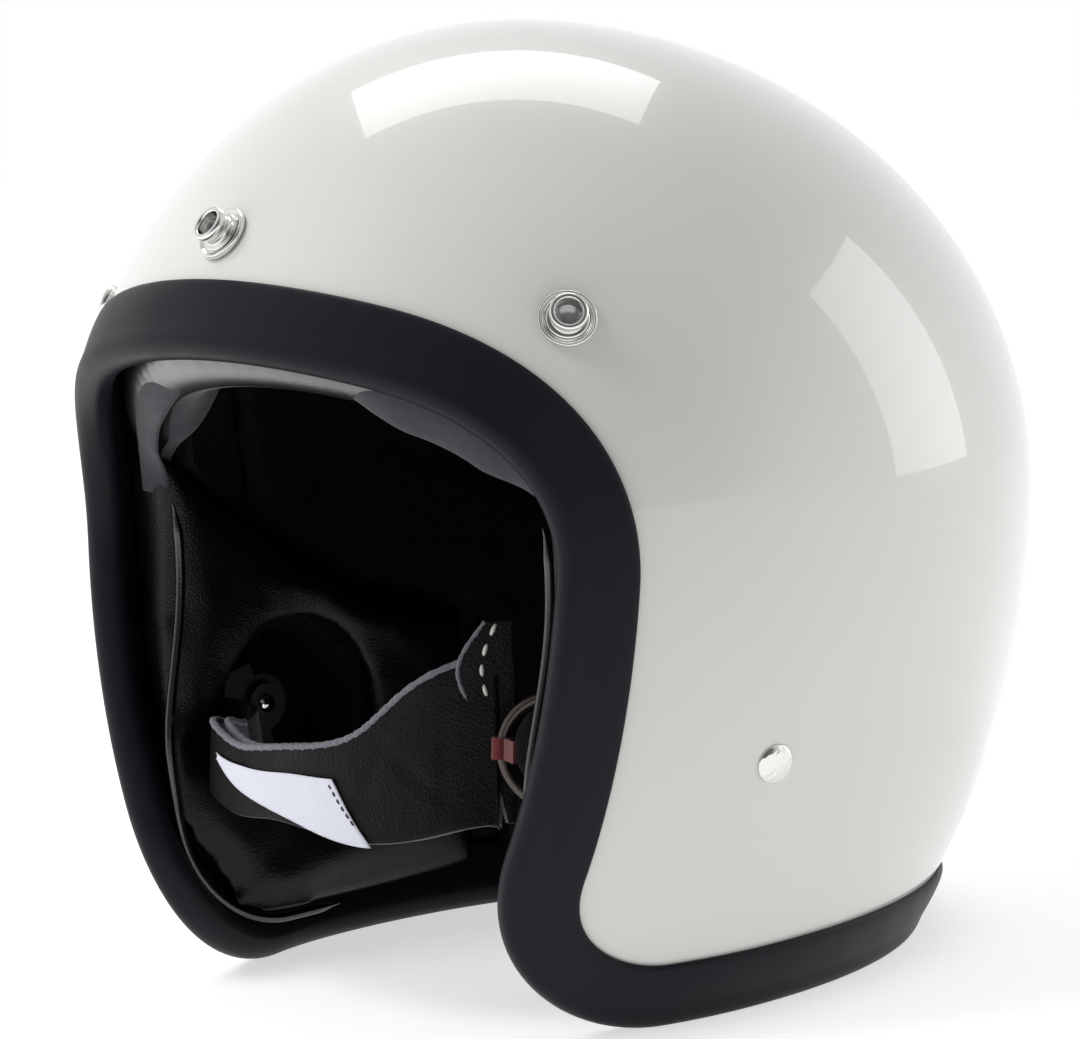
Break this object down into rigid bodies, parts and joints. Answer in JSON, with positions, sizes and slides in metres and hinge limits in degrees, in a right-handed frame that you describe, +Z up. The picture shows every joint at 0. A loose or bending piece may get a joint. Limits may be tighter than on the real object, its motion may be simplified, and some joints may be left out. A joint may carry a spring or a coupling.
{
  "type": "open face motorcycle helmet",
  "caption": "Open-face motorcycle helmet with a glossy off-white shell, black edge trim, padded leather lining, brow snaps and a ring-fastened chin strap.",
  "frame": {"origin": "bottom centre of the box round the helmet as it stands level on its trim", "axes": "+Z up; -Y is the way the wearer faces; +X is the wearer's left"},
  "size_m": [0.234, 0.2488, 0.2445],
  "materials": {
    "shell": "glossy off-white gel coat over glass fibre",
    "trim": "matte black rubber",
    "foam": "black expanded polystyrene",
    "lining": "quilted black lining",
    "leather": "grained black leather",
    "chrome": "polished chrome",
    "steel": "plated steel",
    "webbing": "black woven webbing",
    "suede": "raw suede back",
    "label": "plain white woven cloth",
    "tab": "red woven tab"
  },
  "bodies": {
    "helmet": {"outer_shell": "shell", "edge_trim": "trim", "impact_liner_crown": "foam", "impact_liner_cheek_left": "foam", "impact_liner_cheek_right": "foam", "crown_pad": "lining", "brow_pad": "leather", "cheek_pad_left": "leather", "cheek_pad_right": "leather", "neck_roll": "leather", "strap_rivets": "chrome", "strap_rivet_washers": "steel", "snap_washers": "chrome", "snap_studs": "chrome", "snap_back_washers": "steel", "snap_rivets": "steel"},
    "chin_strap": {"hanger_plate_left": "steel", "hanger_plate_right": "steel", "strap_short": "webbing", "strap_long": "webbing", "chin_pad_face": "leather", "chin_pad_back": "suede", "strap_label": "label"},
    "inner_ring": {"ring_inner": "chrome"},
    "outer_ring": {"ring_outer": "chrome"},
    "pull_tab": {"release_tab": "tab"}
  },
  "joints": [
    {"name": "strap_swing", "type": "hinge", "parent": "helmet", "child": "chin_strap", "pos_m": [0, -0.03862, 0.06449], "axis": [1, 0, 0], "range_deg": [-10, 40]},
    {"name": "inner_ring_tilt", "type": "hinge", "parent": "chin_strap", "child": "inner_ring", "pos_m": [0.06485, -0.06469, 0.06926], "axis": [0, 0.124, 0.9923], "range_deg": [-4, 1]},
    {"name": "outer_ring_tilt", "type": "hinge", "parent": "chin_strap", "child": "outer_ring", "pos_m": [0.06814, -0.06894, 0.06979], "axis": [0, 0.124, 0.9923], "range_deg": [-1, 15]},
    {"name": "pull_tab_flip", "type": "hinge", "parent": "outer_ring", "child": "pull_tab", "pos_m": [0.05545, -0.07861, 0.071], "axis": [0, 0.124, 0.9923], "range_deg": [-100, 5]}
  ]
}
